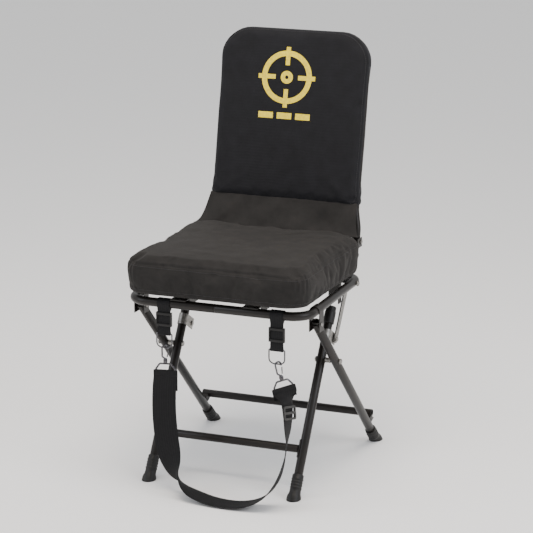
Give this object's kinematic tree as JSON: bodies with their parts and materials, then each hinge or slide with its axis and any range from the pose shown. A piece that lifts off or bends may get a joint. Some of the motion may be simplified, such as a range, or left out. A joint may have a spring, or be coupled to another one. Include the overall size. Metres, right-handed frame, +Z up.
{
  "type": "folding swivel chair",
  "caption": "Folding chair with a padded seat that turns on a ball plate, crossed tube legs, a fold-down padded backrest and a webbing carry strap.",
  "frame": {"origin": "on the floor, under the middle of the whole object's box", "axes": "+Z up, the sitter faces -Y, +X is the sitter's left-hand side"},
  "size_m": [0.4244, 0.5763, 0.9167],
  "materials": {
    "powder_coat": "satin powder coat, dark brown-black",
    "zinc_steel": "zinc-plated steel, dull",
    "gunmetal": "dark nickel plate",
    "ball_steel": "polished bearing steel",
    "black_plastic": "moulded, fine satin",
    "back_cloth": "woven polyester, bluish black",
    "seat_cloth": "woven polyester, warm charcoal",
    "webbing": "ribbed black webbing",
    "foam": "open-cell upholstery foam",
    "board": "plain plywood"
  },
  "bodies": {
    "base_ring": {"ball_ring": "ball_steel", "cross_rail_left": "powder_coat", "cross_rail_right": "powder_coat", "ear_bracket_left": "powder_coat", "ear_bracket_right": "powder_coat", "ear_rivet_left": "zinc_steel", "ear_rivet_right": "zinc_steel", "link_top_bolt_left": "zinc_steel", "link_top_bolt_right": "zinc_steel", "ring_joint_dowel": "zinc_steel", "ring_tube": "powder_coat", "stop_hanger_left": "powder_coat", "stop_hanger_right": "powder_coat", "swivel_lower_plate": "zinc_steel"},
    "rear_legs": {"cross_bolt_left": "zinc_steel", "cross_bolt_right": "zinc_steel", "rear_crossbar": "powder_coat", "rear_foot_left": "black_plastic", "rear_foot_right": "black_plastic", "rear_leg_left": "powder_coat", "rear_leg_right": "powder_coat"},
    "front_legs": {"front_crossbar": "powder_coat", "front_foot_left": "black_plastic", "front_foot_right": "black_plastic", "front_leg_left": "powder_coat", "front_leg_right": "powder_coat", "leg_cap_left": "black_plastic", "leg_cap_right": "black_plastic", "link_bracket_left": "zinc_steel", "link_bracket_right": "zinc_steel"},
    "left_link": {"lock_link_left": "powder_coat"},
    "right_link": {"lock_link_right": "powder_coat"},
    "seat": {"gusset": "seat_cloth", "hinge_bolt_left": "zinc_steel", "hinge_bolt_right": "zinc_steel", "hinge_clevis_left": "powder_coat", "hinge_clevis_right": "powder_coat", "seat_board": "board", "seat_cover": "seat_cloth", "seat_foam": "foam", "seat_frame": "powder_coat", "swivel_upper_plate": "zinc_steel"},
    "backrest": {"back_cover": "back_cloth", "back_foam": "foam", "back_frame": "powder_coat"},
    "carry_strap": {"drop_webbing_left": "webbing", "drop_webbing_right": "webbing", "hook_eye_left": "gunmetal", "hook_eye_right": "gunmetal", "shoulder_strap": "webbing", "snap_hook_left": "gunmetal", "snap_hook_right": "gunmetal", "strap_adjuster": "black_plastic", "strap_ring_left": "gunmetal", "strap_ring_right": "gunmetal", "strap_slider_left": "black_plastic", "strap_slider_right": "black_plastic"},
    "left_gate": {"hook_gate_left": "gunmetal"},
    "right_gate": {"hook_gate_right": "gunmetal"}
  },
  "joints": [
    {"name": "rear_legs_fold", "type": "hinge", "parent": "base_ring", "child": "rear_legs", "pos_m": [0, -0.134, 0.371], "axis": [1, 0, 0], "range_deg": [0, 44]},
    {"name": "front_legs_fold", "type": "hinge", "parent": "rear_legs", "child": "front_legs", "pos_m": [0, -0.018, 0.259], "axis": [1, 0, 0], "range_deg": [-0.5, 78.5]},
    {"name": "left_link_swing", "type": "hinge", "parent": "base_ring", "child": "left_link", "pos_m": [0, 0.102, 0.399], "axis": [1, 0, 0], "range_deg": [-55, 0.5]},
    {"name": "right_link_swing", "type": "hinge", "parent": "base_ring", "child": "right_link", "pos_m": [0, 0.102, 0.399], "axis": [1, 0, 0], "range_deg": [-55, 0.5]},
    {"name": "seat_swivel", "type": "hinge", "parent": "base_ring", "child": "seat", "pos_m": [0, -0.024, 0.42], "axis": [0, 0, 1], "continuous": true},
    {"name": "back_fold", "type": "hinge", "parent": "seat", "child": "backrest", "pos_m": [0, 0.1805, 0.4705], "axis": [1, 0, 0], "range_deg": [0, 62], "deforming": ["gusset"]},
    {"name": "strap_swing", "type": "hinge", "parent": "base_ring", "child": "carry_strap", "pos_m": [0, -0.198, 0.4], "axis": [1, 0, 0], "range_deg": [-90, 0]},
    {"name": "left_gate_swing", "type": "hinge", "parent": "carry_strap", "child": "left_gate", "pos_m": [-0.10874, -0.20143, 0.2847], "axis": [0.6428, -0.766, 0], "range_deg": [0, 22], "stiffness_Nm_per_rad": 0.02, "springref_deg": -17.19},
    {"name": "right_gate_swing", "type": "hinge", "parent": "carry_strap", "child": "right_gate", "pos_m": [0.14823, -0.20103, 0.27819], "axis": [0.7211, -0.6691, 0.1798], "range_deg": [0, 22], "stiffness_Nm_per_rad": 0.02, "springref_deg": -17.19}
  ],
  "couplings": [
    {"joint": "front_legs_fold", "follows": "rear_legs_fold", "ratio": 1.7727},
    {"joint": "left_link_swing", "follows": "rear_legs_fold", "ratio": -1.2344},
    {"joint": "right_link_swing", "follows": "rear_legs_fold", "ratio": -1.2344}
  ]
}
